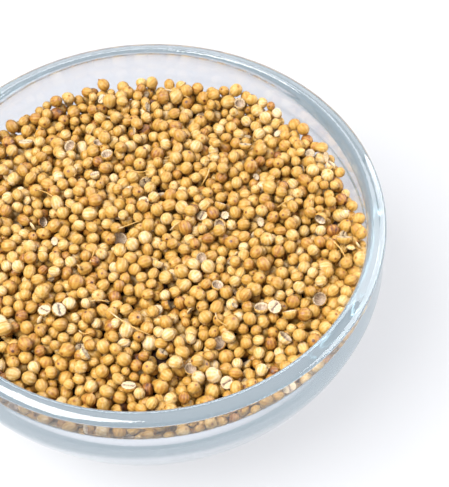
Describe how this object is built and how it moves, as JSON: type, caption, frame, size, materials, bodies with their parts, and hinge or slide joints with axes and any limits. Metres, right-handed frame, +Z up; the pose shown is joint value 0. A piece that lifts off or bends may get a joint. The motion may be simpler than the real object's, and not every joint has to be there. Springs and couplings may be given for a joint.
{
  "type": "glass bowl of coriander seeds",
  "caption": "Round clear glass bowl with a rounded lip and a thick wall that curves in to a flat base, filled nearly to the lip with a level heap of whole dried coriander seeds.",
  "frame": {"origin": "centre of the bowl's flat base, on the surface that it stands on", "axes": "+Z up out of the mouth; the bowl is round, so X and Y are alike, and the picture looks along +Y and down"},
  "size_m": [0.1404, 0.1404, 0.06],
  "materials": {
    "clear_glass": "clear pressed glass, fire polished, with a faint blue-grey tint at its edges",
    "seed_husk": "dry plant husk, ribbed, satin, from pale straw through golden to brown"
  },
  "bodies": {
    "root": {"glass_bowl": "clear_glass", "coriander_seeds": "seed_husk"}
  },
  "joints": []
}
